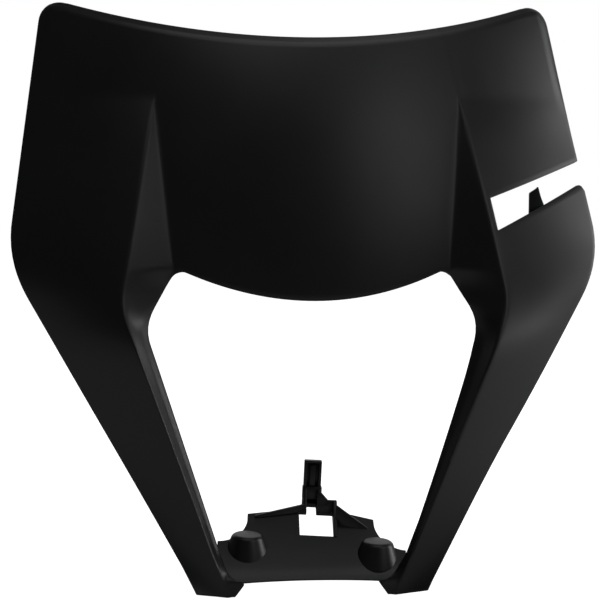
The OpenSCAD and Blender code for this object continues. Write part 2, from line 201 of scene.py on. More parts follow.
def plate_y(x, h):
    above = h - LEAN_H
    return PLATE_D + x * x / PLATE_BEND + LEAN * above + LEAN_GROWTH * max(above, 0) ** 2


def ridge_y(h):
    proud = plate_y(ridge_x(h), h) - RIDGE_PROUD * max(RIDGE_TIP_H - h, 0)
    shin = line(SHIN, h) - SHIN_DIP * ease(DIP_FROM, DIP_TO, h)
    return soft_max(proud, shin, rounding=6)


def outer_y(h):
    leg = soft_max(line(LEG_BACK, h), line(KNEE_BACK, h), rounding=4)
    wing = soft_max(leg, line(WING_BACK, h), rounding=6)
    return soft_min(plate_y(outer_x(h), h), wing, rounding=5)


print("ridge depth", round(ridge_y(120), 1), "at the knee,", round(ridge_y(230), 1), "near its tip")

# %% [markdown]
# ## The fold and the lip beside the opening
#
# The legs are a V in section: a steep inner side and a broad outer one, with a narrow lip
# along the opening. At each foot that lip widens into a web that reaches the tray. On the
# plate there is no lip, and the fold is where the plate turns forward to the ridge.

# %% The fold at a height
FACET_SPREAD, FACET_LEAST = 0.28, 1.5
LIP_W, LEG_LIP_W, LIP_FROM, LIP_TO = 1.8, 2.1, 117, 143
LEG_FOLD, KNEE_FOLD = (0, 6, -0.0957), (115, -5, 0.275)
FOOT_FROM, FOOT_TO, BLEND_H = 4, 26, 140


def lip_share(h):
    return 1 - ease(LIP_FROM, LIP_TO, h)


def fold_x(h):
    if h > CORNER_H:
        return ridge_x(h) - max(FACET_SPREAD * (RIDGE_TIP_H - h), FACET_LEAST)
    return inner_x(h) + min(LIP_W + LEG_LIP_W * lip_share(h), 0.5 * (ridge_x(h) - inner_x(h)))


def fold_y(h):
    leg = soft_max(line(LEG_FOLD, h), line(KNEE_FOLD, h), rounding=5)
    leg = mix(ridge_y(h) + 1, leg, ease(FOOT_FROM, FOOT_TO, h))
    return mix(leg, plate_y(fold_x(h), h), ease(BLEND_H, CORNER_H, h))


print("the fold lies", round(ridge_x(120) - fold_x(120), 1), "mm inside the ridge at the knee")

# %% The web's edge at a height
WEB_W, WEB_H, WEB_FADE = 6.4, 6.4, 1.9
WEB_D, WEB_LEAN, WEB_LEAN_GROWTH, WEB_FROM, WEB_TO = 0.4, 0.7, 0.04, 10, 22


def edge_x(h):
    return inner_x(h) - WEB_W * exp(-max(h - WEB_H, 0) / WEB_FADE)


def edge_y(h, lip_y):
    above = max(h - WEB_H, 0)
    web = max(WEB_D, WEB_LEAN * above + WEB_LEAN_GROWTH * above * above - WEB_D)
    return mix(web, lip_y, ease(WEB_FROM, WEB_TO, h))


print("the web reaches", round(inner_x(WEB_H) - edge_x(WEB_H), 1), "mm past the leg")

# %% [markdown]
# ## Lines across the shell
#
# The mesh starts as a flat grid, and each of its columns is then laid along the shell's own
# lines. A column that follows a ridge keeps that ridge crisp in reflections, which a grid
# laid straight across could not do. Every fold is a short curve made of five columns, so it
# catches the light as a moulded edge does.

# %% Columns of half a shell, from the middle outwards
PLATE_COLUMNS, LIP_COLUMNS, FACET_COLUMNS, WING_COLUMNS = 28, 2, 5, 30
BEND = (-1, -0.5, 0, 0.5, 1)
COLUMNS = ([("plate", 1 - (1 - i / PLATE_COLUMNS) ** 1.3) for i in range(PLATE_COLUMNS)]
           + [("lip", i / LIP_COLUMNS) for i in range(LIP_COLUMNS)]
           + [("fold", s) for s in BEND]
           + [("facet", (i + 1) / (FACET_COLUMNS + 1)) for i in range(FACET_COLUMNS)]
           + [("ridge", s) for s in BEND]
           + [("wing", (i + 1) / WING_COLUMNS) for i in range(WING_COLUMNS)])
FIRST_LIP = PLATE_COLUMNS
LAST_COLUMN = len(COLUMNS) - 1
RIDGE_END = LAST_COLUMN - WING_COLUMNS
print(len(COLUMNS), "columns")

# %% [markdown]
# ## The front line at one height
#
# At one height the front of the shell is a bent line through the points found above. A
# corner of it is rounded between two points, one on either side, which are drawn together
# step by step. That gives a smooth curve, whatever the angle between the two sides.

# %% Points between points, and round corners
BEND_REACH, BEND_MOST = 1.6, 0.3


def along(p, q, t):
    return (mix(p[0], q[0], t), mix(p[1], q[1], t))


def rounded(before, corner, after, s):
    def step(other):
        length = sqrt((other[0] - corner[0]) ** 2 + (other[1] - corner[1]) ** 2)
        return along(corner, other, min(BEND_REACH / length, BEND_MOST))
    t = (s + 1) / 2
    a, b = along(step(before), corner, t), along(corner, step(after), t)
    return along(a, b, t)


print("a square corner is cut to", rounded((9, 0), (0, 0), (0, 9), 0))

# %% Where the lip starts, and where the wing runs
LIP_GROWTH, LIP_RUN, LIP_SLOPE, LIP_BLEND_H, WING_BEND = 4.2, 26, 1.3, 150, 400


def lip_start(h):
    fold = (fold_x(h), fold_y(h))
    if h > CORNER_H:
        x = fold[0] - LIP_W - LIP_GROWTH * ease(CORNER_H, CORNER_H + LIP_RUN, h)
        return (x, plate_y(x, h))
    x, width = inner_x(h), fold[0] - inner_x(h)
    facet = (fold[1] - ridge_y(h)) / (ridge_x(h) - fold[0])
    y = edge_y(h, fold[1] + width * mix(facet, LIP_SLOPE, lip_share(h)))
    return (edge_x(h), mix(y, plate_y(x, h), ease(LIP_BLEND_H, CORNER_H, h)))


def wing_point(h, t):
    ridge, outer = ridge_x(h), outer_x(h)
    x = mix(ridge, outer, t)
    return (x, mix(ridge_y(h), outer_y(h), t) - (x - ridge) * (outer - x) / WING_BEND)


print("the wing's middle at the knee is at", [round(c, 1) for c in wing_point(120, 0.5)], "mm")


# %% A point of the front line
def front_point(column, h):
    kind, t = column
    lip, fold, ridge = lip_start(h), (fold_x(h), fold_y(h)), (ridge_x(h), ridge_y(h))
    wing = wing_point(h, 0.25)
    if kind == "plate":
        x = lip[0] * t
        return (x, plate_y(x, h))
    if kind == "lip":
        return along(lip, rounded(lip, fold, ridge, -1), t)
    if kind == "fold":
        return rounded(lip, fold, ridge, t)
    if kind == "facet":
        return along(rounded(lip, fold, ridge, 1), rounded(fold, ridge, wing, -1), t)
    if kind == "ridge":
        return rounded(fold, ridge, wing, t)
    start = (rounded(fold, ridge, wing, 1)[0] - ridge[0]) / (outer_x(h) - ridge[0])
    return wing_point(h, mix(start, 1, t))


print("at the knee the front line ends at x", round(front_point(COLUMNS[-1], 120)[0], 1), "mm")

# %% [markdown]
# ## Lines up the shell
#
# The rows of the grid are level on the legs. Higher up they bend, so that one row is the
# plate's lower edge, one is the top edge and two are the edges of the slot. No cutting is
# then needed anywhere: the opening and the slot are made by leaving faces out.

# %% Heights of the edges
BROW_H, BROW_BEND, TOP_H, TOP_BEND = 143.9, 294, 270.5, 800
SLOT_LOW_H, SLOT_LOW_RISE, SLOT_TOP_H, SLOT_TOP_RISE = 176, 0.435, 192, 0.32
FOOT_H, FOOT_OUTER_X, FOOT_OUTER_RISE, FOOT_INNER_X, FOOT_INNER_RISE = -0.6, 41, 0.21, 37.4, 1.4


def brow_h(x):
    return BROW_H + x * x / BROW_BEND


def top_h(x):
    return TOP_H + x * x / TOP_BEND


def slot_low(x):
    return SLOT_LOW_H + SLOT_LOW_RISE * (x - ridge_x(SLOT_LOW_H))


def slot_top(x):
    return SLOT_TOP_H + SLOT_TOP_RISE * (x - ridge_x(SLOT_TOP_H))


def foot_h(x):
    return (FOOT_H + FOOT_OUTER_RISE * max(x - FOOT_OUTER_X, 0)
            + FOOT_INNER_RISE * max(FOOT_INNER_X - x, 0))


# %% Rows from the feet to the top edge
LEG_ROWS, KNEE_ROWS, LOW_ROWS, SLOT_ROWS, TOP_ROWS = 48, 16, 9, 6, 36
CORNER_ROW = LEG_ROWS + KNEE_ROWS
SLOT_ROW = CORNER_ROW + LOW_ROWS
HIGH_ROW = SLOT_ROW + SLOT_ROWS
LAST_ROW = HIGH_ROW + TOP_ROWS
KNEE_H, FOOT_CROWDING, KNEE_CROWDING = 110, 1.3, 1.2
RIM, RIM_ROWS, BROW_REACH = 3.2, 4, 0.4


def row_height(row, x):
    if row <= LEG_ROWS:
        return mix(foot_h(x), KNEE_H, (row / LEG_ROWS) ** FOOT_CROWDING)
    if row <= CORNER_ROW:
        return mix(KNEE_H, CORNER_H, 1 - (1 - (row - LEG_ROWS) / KNEE_ROWS) ** KNEE_CROWDING)
    low, high, edge = max(SLOT_LOW_H, slot_low(x)), max(SLOT_TOP_H, slot_top(x)), top_h(x)
    if row <= SLOT_ROW:
        return mix(CORNER_H, low, (row - CORNER_ROW) / LOW_ROWS)
    if row <= HIGH_ROW:
        return mix(low, high, (row - SLOT_ROW) / SLOT_ROWS)
    below_rim = TOP_ROWS - RIM_ROWS
    step = row - HIGH_ROW
    if step <= below_rim:
        return mix(high, edge - RIM, step / below_rim)
    return mix(edge - RIM, edge, (step - below_rim) / RIM_ROWS)


def height_at(row, x):
    h = row_height(row, x)
    if row < CORNER_ROW:
        return h
    share = (row - CORNER_ROW) / (LAST_ROW - CORNER_ROW)
    return h + min(brow_h(x) - CORNER_H, 0) * max(1 - share / BROW_REACH, 0) ** 2


print(LAST_ROW + 1, "rows, the slot between rows", SLOT_ROW, "and", HIGH_ROW)

# %% [markdown]
# ## The front surface
#
# One grid is made with the operator for grids, and its points are given their places from
# the lines above. A point's height depends on how far out it lies, and the other way round,
# so both are found by trying a few times. Near the feet the lines are steep, and there each
# try takes only a part of the step, so that it settles.

# %% Number the grid's points and leave out the opening
shell = bmesh.new()
bmesh.ops.create_grid(shell, x_segments=LAST_COLUMN, y_segments=LAST_ROW, size=1)
column_of = shell.verts.layers.int.new("column")
row_of = shell.verts.layers.int.new("row")
for v in shell.verts:
    v[column_of] = round((v.co.x + 1) / 2 * LAST_COLUMN)
    v[row_of] = round((v.co.y + 1) / 2 * LAST_ROW)
gone = [f for f in shell.faces if max(v[column_of] for v in f.verts) <= FIRST_LIP
        and min(v[row_of] for v in f.verts) < CORNER_ROW]
bmesh.ops.delete(shell, geom=gone, context="FACES")
print("half shell:", len(shell.faces), "faces; left out for the opening:", len(gone))

# %% Lay the grid along the lines
FIRST_X, FOOT_TRIES, FOOT_PACE, TRIES = 60, 30, 0.25, 8
for v in shell.verts:
    tries, pace = (FOOT_TRIES, FOOT_PACE) if v[row_of] < LEG_ROWS / 2 else (TRIES, 1)
    x, h = FIRST_X, height_at(v[row_of], FIRST_X)
    for _ in range(tries):
        h = mix(h, height_at(v[row_of], x), pace)
        x, y = front_point(COLUMNS[v[column_of]], h)
    v.co = (x, y, h)
print("half shell reaches", round(max(v.co.x for v in shell.verts), 1), "mm outwards")

# %% [markdown]
# ## Rounded corners that point outwards
#
# The grid's own corners are sharp. To round one that points outwards, its corner block of
# cells is squeezed the way a square is squeezed into a circle. The cells stay even, so the
# corner shades as smoothly as the rest, which a corner cut off with a circle would not.

# %% Squeeze a corner block to a quarter round
TOP_CORNER_R, SLOT_CORNER_R, CORNER_STEP = 13, 5, 10


def outer_corner(edge_h, rise):
    h = 200
    for _ in range(20):
        h = edge_h(outer_x(h))
    down = Vector((outer_x(h - CORNER_STEP) - outer_x(h), -CORNER_STEP))
    return (outer_x(h), h), (-1, -rise(outer_x(h))), down


def round_corner(points, corner, along_a, along_b, radius):
    a, b = Vector(along_a).normalized(), Vector(along_b).normalized()
    cross = a.x * b.y - a.y * b.x
    moved = []
    for v in points:
        d = Vector((abs(v.co.x), v.co.z)) - Vector(corner)
        da, db = (d.x * b.y - d.y * b.x) / cross, (a.x * d.y - a.y * d.x) / cross
        if da < radius and db < radius:
            u, w = (radius - max(da, 0)) / radius, (radius - max(db, 0)) / radius
            place = (Vector(corner) + a * radius * (1 - u * sqrt(1 - w * w / 2))
                     + b * radius * (1 - w * sqrt(1 - u * u / 2)))
            v.co.x, v.co.z = place.x, place.y
            moved.append(v)
    return moved


moved = round_corner(shell.verts, *outer_corner(top_h, lambda x: 2 * x / TOP_BEND), TOP_CORNER_R)
print(len(moved), "points moved at the top corner")

# %% [markdown]
# ## The opening's upper corner
#
# This corner points the other way, into the plastic. Its edge is drawn onto an arc that
# touches both sides, and the cells behind it follow, less and less with distance.

# %% Draw the opening's corner onto an arc
OPENING_R, OPENING_REACH, LEG_STEP = 5, 9, 6


def arc_shift(s, corner, edge, other):
    half = edge.angle(other) / 2
    tangent_length = OPENING_R / tan(half)
    if s >= tangent_length:
        return Vector((0, 0))
    middle = corner + (edge + other).normalized() * OPENING_R / sin(half)
    spoke = (corner + edge * tangent_length - middle).normalized()
    to_corner = (corner - middle).normalized()
    place = middle + spoke.slerp(to_corner, 1 - s / tangent_length) * OPENING_R
    return place - (corner + edge * s)


def fill_corner(points):
    corner = Vector((inner_x(CORNER_H), CORNER_H))
    brow = Vector((-1, -2 * corner.x / BROW_BEND)).normalized()
    leg = Vector((inner_x(CORNER_H - LEG_STEP) - corner.x, -LEG_STEP)).normalized()
    moved = []
    for v in points:
        here = Vector((v.co.x, v.co.z))
        if v[row_of] >= CORNER_ROW and here.x <= corner.x:
            s, away = (corner.x - here.x) / -brow.x, here.y - brow_h(here.x)
            edge, other = brow, leg
        elif v[row_of] < CORNER_ROW:
            s, away = (corner.y - here.y) / -leg.y, here.x - inner_x(here.y)
            edge, other = leg, brow
        else:
            s, away, edge, other = 0, (here - corner).length, leg, brow
        shift = arc_shift(s, corner, edge, other)
        if away < OPENING_REACH and shift.length > 0:
            shift = shift * (1 - max(away, 0) / OPENING_REACH) ** 2
            v.co.x, v.co.z = v.co.x + shift.x, v.co.z + shift.y
            moved.append(v)
    return moved


# %% Bring the moved points back onto the surface
def surface_y(x, h):
    front = [front_point(c, h) for c in COLUMNS]
    for p, q in zip(front, front[1:]):
        if x <= q[0]:
            break
    return mix(p[1], q[1], (x - p[0]) / (q[0] - p[0]))


def settle(points):
    for v in points:
        v.co.y = surface_y(abs(v.co.x), v.co.z)


moved += fill_corner(shell.verts)
settle(moved)
print(len(moved), "points moved at both corners")

# %% [markdown]
# ## The rolled top edge
#
# The top edge is rolled back a little, which stiffens such a plate and hides its cut edge.
# The last rows and, near the top corners, the last columns are moved back for that.

# %% Roll the top edge
RIM_BACK, SIDE_BACK, SIDE_COLUMNS, SIDE_FROM, SIDE_TO = 0.8, 0.6, 2, 225, 262


def rolled(v):
    up = (v[row_of] - (LAST_ROW - RIM_ROWS)) / RIM_ROWS
    side = (v[column_of] - (LAST_COLUMN - SIDE_COLUMNS)) / SIDE_COLUMNS
    return max(up, side * ease(SIDE_FROM, SIDE_TO, v.co.z) * SIDE_BACK, 0)


for v in shell.verts:
    v.co.y += RIM_BACK * RIM * rolled(v)
print("the rim lies", RIM_BACK * RIM, "mm further back")

# %% [markdown]
# ## The other half and the slot
#
# The half shell is mirrored, so that the two halves match. Only then is the slot opened,
# because it is on one side only. Its lower corner is rounded as the top corners are.

# %% Mirror the half, then open the slot on one side
MERGE = 0.01
bmesh.ops.mirror(shell, geom=shell.verts[:] + shell.edges[:] + shell.faces[:], axis="X",
                 merge_dist=MERGE)
slot = [f for f in shell.faces if f.calc_center_median().x > 0
        and min(v[column_of] for v in f.verts) > RIDGE_END
        and SLOT_ROW <= min(v[row_of] for v in f.verts) < HIGH_ROW]
bmesh.ops.delete(shell, geom=slot, context="FACES")
lower_wing = [v for v in shell.verts if v.co.x > 0 and v[row_of] <= SLOT_ROW]
settle(round_corner(lower_wing, *outer_corner(slot_low, lambda x: SLOT_LOW_RISE), SLOT_CORNER_R))
print("whole shell:", len(shell.faces), "faces; left out for the slot:", len(slot))

# %% [markdown]
# ## The narrower right leg
#
# In the photograph the inner side of the right leg is narrower than that of the left one,
# more so towards the foot. Its points are drawn towards the ridge, by a share that grows
# on the way down. The faces are then made to point forwards.

# %% Narrow the right leg's inner side
SQUEEZE, SQUEEZE_FROM, SQUEEZE_LEAST, FOOT_EASE_FROM, FOOT_EASE_TO = 0.0058, 122, 0.5, 6, 20


def squeeze(h):
    share = max(SQUEEZE_LEAST, 1 - SQUEEZE * max(SQUEEZE_FROM - h, 0))
    return mix(1, share, ease(FOOT_EASE_FROM, FOOT_EASE_TO, h))


for v in shell.verts:
    x, h = v.co.x, v.co.z
    if 0 < x < ridge_x(h):
        v.co.x = mix(ridge_x(h), x, squeeze(h))
        v.co.y = mix(ridge_y(h), v.co.y, squeeze(h))
bmesh.ops.recalc_face_normals(shell, faces=shell.faces)
if sum(f.normal.y * f.calc_area() for f in shell.faces) > 0:
    bmesh.ops.reverse_faces(shell, faces=shell.faces)
print("at 60 mm the right leg's inner side keeps", round(squeeze(60) * 100), "% of its width")

# %% [markdown]
# ## Black plastic
#
# The moulding is black polypropylene. Its surface isn't polished: the steel of the mould
# was sparked to a fine grain, so it shines softly, and the grain breaks up the edges of
# reflections. One principled shader does this, with a fine noise for the grain's bump and a
# coarse one that makes the gloss a little uneven, as handling does.

# %% Noise, and a value drawn from it
NOISE_LOW, NOISE_HIGH = 0.3, 0.7


def noise(nodes, links, scale, detail, coordinates):
    node = nodes.new("ShaderNodeTexNoise")
    node.inputs["Scale"].default_value = scale
    node.inputs["Detail"].default_value = detail
    links.new(coordinates.outputs["Object"], node.inputs["Vector"])
    return node


def ranged(nodes, links, socket, low, high):
    node = nodes.new("ShaderNodeMapRange")
    node.inputs["From Min"].default_value = NOISE_LOW
    node.inputs["From Max"].default_value = NOISE_HIGH
    node.inputs["To Min"].default_value, node.inputs["To Max"].default_value = low, high
    links.new(socket, node.inputs["Value"])
    return node.outputs["Result"]


# %% The plastic
PLASTIC_IOR, GLOSSIEST, DULLEST = 1.49, 0.33, 0.40
DARK_BLACK, LIGHT_BLACK = (0.0045, 0.0046, 0.0050, 1), (0.0070, 0.0071, 0.0076, 1)
CLOUD_SCALE, GRAIN_SCALE, GRAIN_STRENGTH, GRAIN_HEIGHT = 22, 2600, 0.12, 0.0002


def make_plastic():
    material = bpy.data.materials.new("black_plastic")
    material.use_nodes = True
    nodes, links = material.node_tree.nodes, material.node_tree.links
    shader = nodes["Principled BSDF"]
    shader.inputs["IOR"].default_value = PLASTIC_IOR
    coordinates = nodes.new("ShaderNodeTexCoord")
    cloudy = noise(nodes, links, CLOUD_SCALE, 3, coordinates)
    grain = noise(nodes, links, GRAIN_SCALE, 2, coordinates)
    links.new(ranged(nodes, links, cloudy.outputs["Fac"], GLOSSIEST, DULLEST),
              shader.inputs["Roughness"])
    tint = nodes.new("ShaderNodeMix")
    tint.data_type = "RGBA"
    tint.inputs["A"].default_value = DARK_BLACK
    tint.inputs["B"].default_value = LIGHT_BLACK
    links.new(cloudy.outputs["Fac"], tint.inputs["Factor"])
    links.new(tint.outputs["Result"], shader.inputs["Base Color"])
    bump = nodes.new("ShaderNodeBump")
    bump.inputs["Strength"].default_value = GRAIN_STRENGTH
    bump.inputs["Distance"].default_value = GRAIN_HEIGHT
    links.new(grain.outputs["Fac"], bump.inputs["Height"])
    links.new(bump.outputs["Normal"], shader.inputs["Normal"])
    return material


plastic = make_plastic()
print("made", plastic.name)

# %% [markdown]
# ## Finishing a piece
#
# Each piece ends the same way: its points are moved from the legs' measurements to the
# origin and from millimetres to metres, it is shaded smooth, and it is tied to the
# construction model. Its object stays at the origin, with its place in its mesh.

# %% Turn a bmesh into a finished piece
SMOOTH_ANGLE = radians(35)


def finish_piece(bm, name):
    bm.transform(Matrix.Scale(1 / MM_PER_M, 4) @ Matrix.Translation(-ORIGIN))
    mesh = bpy.data.meshes.new(name)
    bm.to_mesh(mesh)
    bm.free()
    mesh.shade_smooth()
    mesh.set_sharp_from_angle(angle=SMOOTH_ANGLE)
    piece = bpy.data.objects.new(name, mesh)
    bpy.context.scene.collection.objects.link(piece)
    mesh.materials.append(plastic)
    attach(piece, "root")
    print(name, "has", len(mesh.polygons), "faces")
    return piece


# %% [markdown]
# ## The wall of the shell
#
# So far the shell is only its front surface. The Solidify modifier gives it the wall of the
# real moulding, measured square to the surface and backwards, so the front stays where it
# is. A Bevel modifier then breaks the cut edges, because no moulded edge is quite sharp.

# %% Thicken the shell
EDGE_ROUND, EDGE_ANGLE = 0.35, radians(55)


def give_wall(piece):
    wall = piece.modifiers.new("wall", "SOLIDIFY")
    wall.thickness, wall.offset, wall.use_even_offset = WALL / MM_PER_M, -1, True


def round_edges(piece):
    edges = piece.modifiers.new("edges", "BEVEL")
    edges.width, edges.segments, edges.limit_method = EDGE_ROUND / MM_PER_M, 2, "ANGLE"
    edges.angle_limit, edges.use_clamp_overlap = EDGE_ANGLE, False


shell_piece = finish_piece(shell, "shell")
give_wall(shell_piece)
round_edges(shell_piece)
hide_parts("cowl")

# %% [markdown]
# ## Prisms
#
# The tray's clip is made of thin walls, each with a flat outline. Such a wall is a prism:
# one face is filled in from a few points, extruded, and its edges are bevelled. A mould
# can't have square corners either.

# %% Make a wall from its outline
def prism(bm, outline, axis, start, end, rounding=EDGE_ROUND, place=Matrix()):
    corner = {"x": lambda a, b: (start, a, b), "y": lambda a, b: (a, start, b),
              "z": lambda a, b: (a, b, start)}[axis]
    points = [bm.verts.new(corner(a, b)) for a, b in outline]
    face = bm.faces.new(points)
    made = bmesh.ops.extrude_face_region(bm, geom=[face])["geom"]
    step = Vector([end - start if axis == name else 0 for name in "xyz"])
    top = [g for g in made if isinstance(g, bmesh.types.BMVert)]
    bmesh.ops.translate(bm, verts=top, vec=step)
    points += top
    bmesh.ops.transform(bm, matrix=place, verts=points)
    faces = [f for f in bm.faces if all(v in points for v in f.verts)]
    bmesh.ops.recalc_face_normals(bm, faces=faces)
    rim = [e for e in bm.edges if e.verts[0] in points and e.verts[1] in points]
    bmesh.ops.bevel(bm, geom=rim, affect="EDGES", offset=rounding, segments=2, profile=0.5,
                    material=-1, clamp_overlap=True)


def box(bm, low, high, rounding=EDGE_ROUND):
    outline = [(low[0], low[1]), (high[0], low[1]), (high[0], high[1]), (low[0], high[1])]
    prism(bm, outline, "z", low[2], high[2], rounding)


# %% [markdown]
# ## The tray
#
# Between the feet lies the tray. It climbs towards the back, and a hollow curve is cut out
# of each rear corner. It is again a grid whose points are moved to their places. Its
# columns and rows are chosen so that the clip's window and notch fall on them, and are made
# by leaving faces out.

# %% Sizes of the window, the notch and the post, which the clip shares
WINDOW_L, WINDOW_R, WINDOW_D = -5.7, 11.1, 25.1
NOTCH_L, NOTCH_R, PANEL_D, NOTCH_D = -1.8, 3, 41.5, 47
POST_L, POST_R, POST_D = -3.8, 5, 52
print("the window is", WINDOW_R - WINDOW_L, "by", PANEL_D - WINDOW_D, "mm")

# %% Outline of the tray from above
FRONT_X, FRONT_BOW, ROOT_D, ROOT_W = 33, 0.7, 6, 13.5
CORNER_X, COVE_D, COVE_DEPTH, COVE_X, COVE_W = 31.5, 36, 17.6, 46.8, 15.3
REAR = [(-CORNER_X, 38), (-4.4, 43.6), (POST_L, POST_D), (POST_R, POST_D), (5.6, 43.6),
        (13.1, 42.6), (CORNER_X, 38)]


def tray_front(x):
    if abs(x) < FRONT_X:
        return FRONT_BOW * (1 - (x / FRONT_X) ** 2)
    return ROOT_D * (1 - sqrt(max(1 - ((abs(x) - FRONT_X) / ROOT_W) ** 2, 0)))


def tray_rear(x):
    if abs(x) > CORNER_X:
        return COVE_D - COVE_DEPTH * sqrt(max(1 - ((COVE_X - abs(x)) / COVE_W) ** 2, 0))
    for p, q in zip(REAR, REAR[1:]):
        if x <= q[0]:
            return mix(p[1], q[1], (x - p[0]) / (q[0] - p[0]))


print("the tray is", round(tray_rear(0) - tray_front(0), 1), "mm deep in the middle")

# %% Rows and columns of the tray
STEPS = (0, 16, 27, 30, 32)
STOPS = ((WINDOW_D, 0.62), (PANEL_D, 0.965), (NOTCH_D, 0.98))
SIDE = [46.5, 44.8, 43, 41, 39, 37.2, 35.6, 34.3, 33.3, 32.5, 32, 31.7, CORNER_X]
MIDDLE = [28, 25, 22, 19, 16, 13.1, WINDOW_R, 8.5, 5.6, POST_R, NOTCH_R, 0.6, NOTCH_L, POST_L,
          -4.4, WINDOW_L, -8.5, -11, -14, -17, -20, -23, -26, -29]
TRAY_X = sorted(SIDE + MIDDLE + [-x for x in SIDE])


def tray_depth(row, x):
    front, rear = tray_front(x), tray_rear(x)
    stops = [front] + [min(stop, mix(front, rear, share)) for stop, share in STOPS] + [rear]
    for i in range(len(STEPS) - 1):
        if row <= STEPS[i + 1]:
            return mix(stops[i], stops[i + 1], (row - STEPS[i]) / (STEPS[i + 1] - STEPS[i]))


print("the tray has", len(TRAY_X), "columns and", STEPS[-1] + 1, "rows")

# %% [markdown]
# The photographed tray is turned a little about its front edge, so the points turn as well,
# from nothing at the front to the full turn further back.

# %% Lay the tray's grid and leave the window out
TURN_RUN = 12
tray = bmesh.new()
bmesh.ops.create_grid(tray, x_segments=len(TRAY_X) - 1, y_segments=STEPS[-1], size=1)
window = []
for f in tray.faces:
    centre = f.calc_center_median()
    x = TRAY_X[int((centre.x + 1) / 2 * (len(TRAY_X) - 1))]
    row = (centre.y + 1) / 2 * STEPS[-1]
    if ((WINDOW_L <= x < WINDOW_R and STEPS[1] < row < STEPS[2])
            or (NOTCH_L <= x < NOTCH_R and STEPS[2] < row < STEPS[3])):
        window.append(f)
bmesh.ops.delete(tray, geom=window, context="FACES")
for v in tray.verts:
    x = TRAY_X[round((v.co.x + 1) / 2 * (len(TRAY_X) - 1))]
    d = tray_depth(round((v.co.y + 1) / 2 * STEPS[-1]), x)
    x, d = along((x + TRAY_SHIFT, d), turned(x, d), ease(0, TURN_RUN, d))
    v.co = (x, d, tray_top(d))
bmesh.ops.recalc_face_normals(tray, faces=tray.faces)
if sum(f.normal.z for f in tray.faces) < 0:
    bmesh.ops.reverse_faces(tray, faces=tray.faces)
print("left out for the window:", len(window), "faces")

# %% [markdown]
# The tray's wall is extruded instead, because it has to run out to a thin nose at the front
# edge. Each copied point moves square to the surface by the wall, and less near the nose.

# %% Extrude the tray's underside
NOSE_SHARE, NOSE_RUN = 0.35, 4
made = bmesh.ops.extrude_face_region(tray, geom=tray.faces[:], use_keep_orig=True)["geom"]
for v in made:
    if isinstance(v, bmesh.types.BMVert):
        slope = CHIN_RISE / CHIN_RUN * exp(-v.co.y / CHIN_RUN) + TRAY_CLIMB
        wall = WALL * mix(NOSE_SHARE, 1, ease(0, NOSE_RUN, v.co.y))
        v.co += Vector((0, slope, -1)).normalized() * wall
bmesh.ops.recalc_face_normals(tray, faces=tray.faces)
tray_piece = finish_piece(tray, "tray")
round_edges(tray_piece)

# %% [markdown]
# ## The domes
#
# Two blunt domes stand on the tray and carry the headlight's housing. Each is a cone with
# a flat top, pitched forward so that the top lies flat against the housing. The round
# shoulder is a bevel on the top's edge. A cut through the wall of the tray takes off what
# would hang out below, and closes the cone there.

# %% Stand two domes on the tray
DOME_X, DOME_D, DOME_RISE, DOME_PITCH = 32, 16, 5.8, radians(6)
DOME_FOOT_R, DOME_TOP_R, DOME_LEN, SHOULDER_R, CUT_SHARE = 12, 7.4, 12.5, 1.7, 0.6
TRAY_NORMAL = Vector((0, -TRAY_CLIMB, 1)).normalized()
TURN = Matrix.Rotation(-TRAY_TURN, 4, TRAY_NORMAL)
domes = bmesh.new()
for side in (-1, 1):
    made = bmesh.ops.create_cone(domes, cap_ends=True, segments=72, radius1=DOME_FOOT_R,
                                 radius2=DOME_TOP_R, depth=DOME_LEN)["verts"]
    shoulder = [e for e in domes.edges if e.verts[0] in made
                and all(v.co.z > 0 and abs(v.co.xy.length - DOME_TOP_R) < MERGE for v in e.verts)]
    bevelled = bmesh.ops.bevel(domes, geom=shoulder, affect="EDGES", offset=SHOULDER_R,
                               segments=6, profile=0.5, material=-1)
    made = {v for v in made if v.is_valid} | set(bevelled["verts"])
    foot = tray_spot(side * DOME_X, DOME_D)
    place = (Matrix.Translation(foot) @ TURN @ Matrix.Translation((0, 0, DOME_RISE))
             @ Matrix.Rotation(DOME_PITCH, 4, "X") @ Matrix.Translation((0, 0, -DOME_LEN / 2)))
    bmesh.ops.transform(domes, matrix=place, verts=list(made))
    dome = [g for g in domes.verts[:] + domes.edges[:] + domes.faces[:]
            if all((v.co.x > 0) == (side > 0) for v in (g.verts if hasattr(g, "verts") else [g]))]
    cut = bmesh.ops.bisect_plane(domes, geom=dome, dist=0.001, clear_inner=True,
                                 plane_co=foot - TRAY_NORMAL * WALL * CUT_SHARE,
                                 plane_no=TRAY_NORMAL)["geom_cut"]
    rim = [g for g in cut if isinstance(g, bmesh.types.BMEdge)]
    bmesh.ops.edgeloop_fill(domes, edges=rim)
bmesh.ops.recalc_face_normals(domes, faces=domes.faces)
finish_piece(domes, "domes")

# %% [markdown]
# ## The clip
#
# Behind the window stands a post with a channel down its front and a rib in the channel.
# Two walls carry it, a collar closes their tops, and beside it are a panel and a side wall.
# A low rib on the left and a taller gusset on the right brace them against the tray. All of
# them are made as if the tray were straight, and one matrix turns them with it at the end.

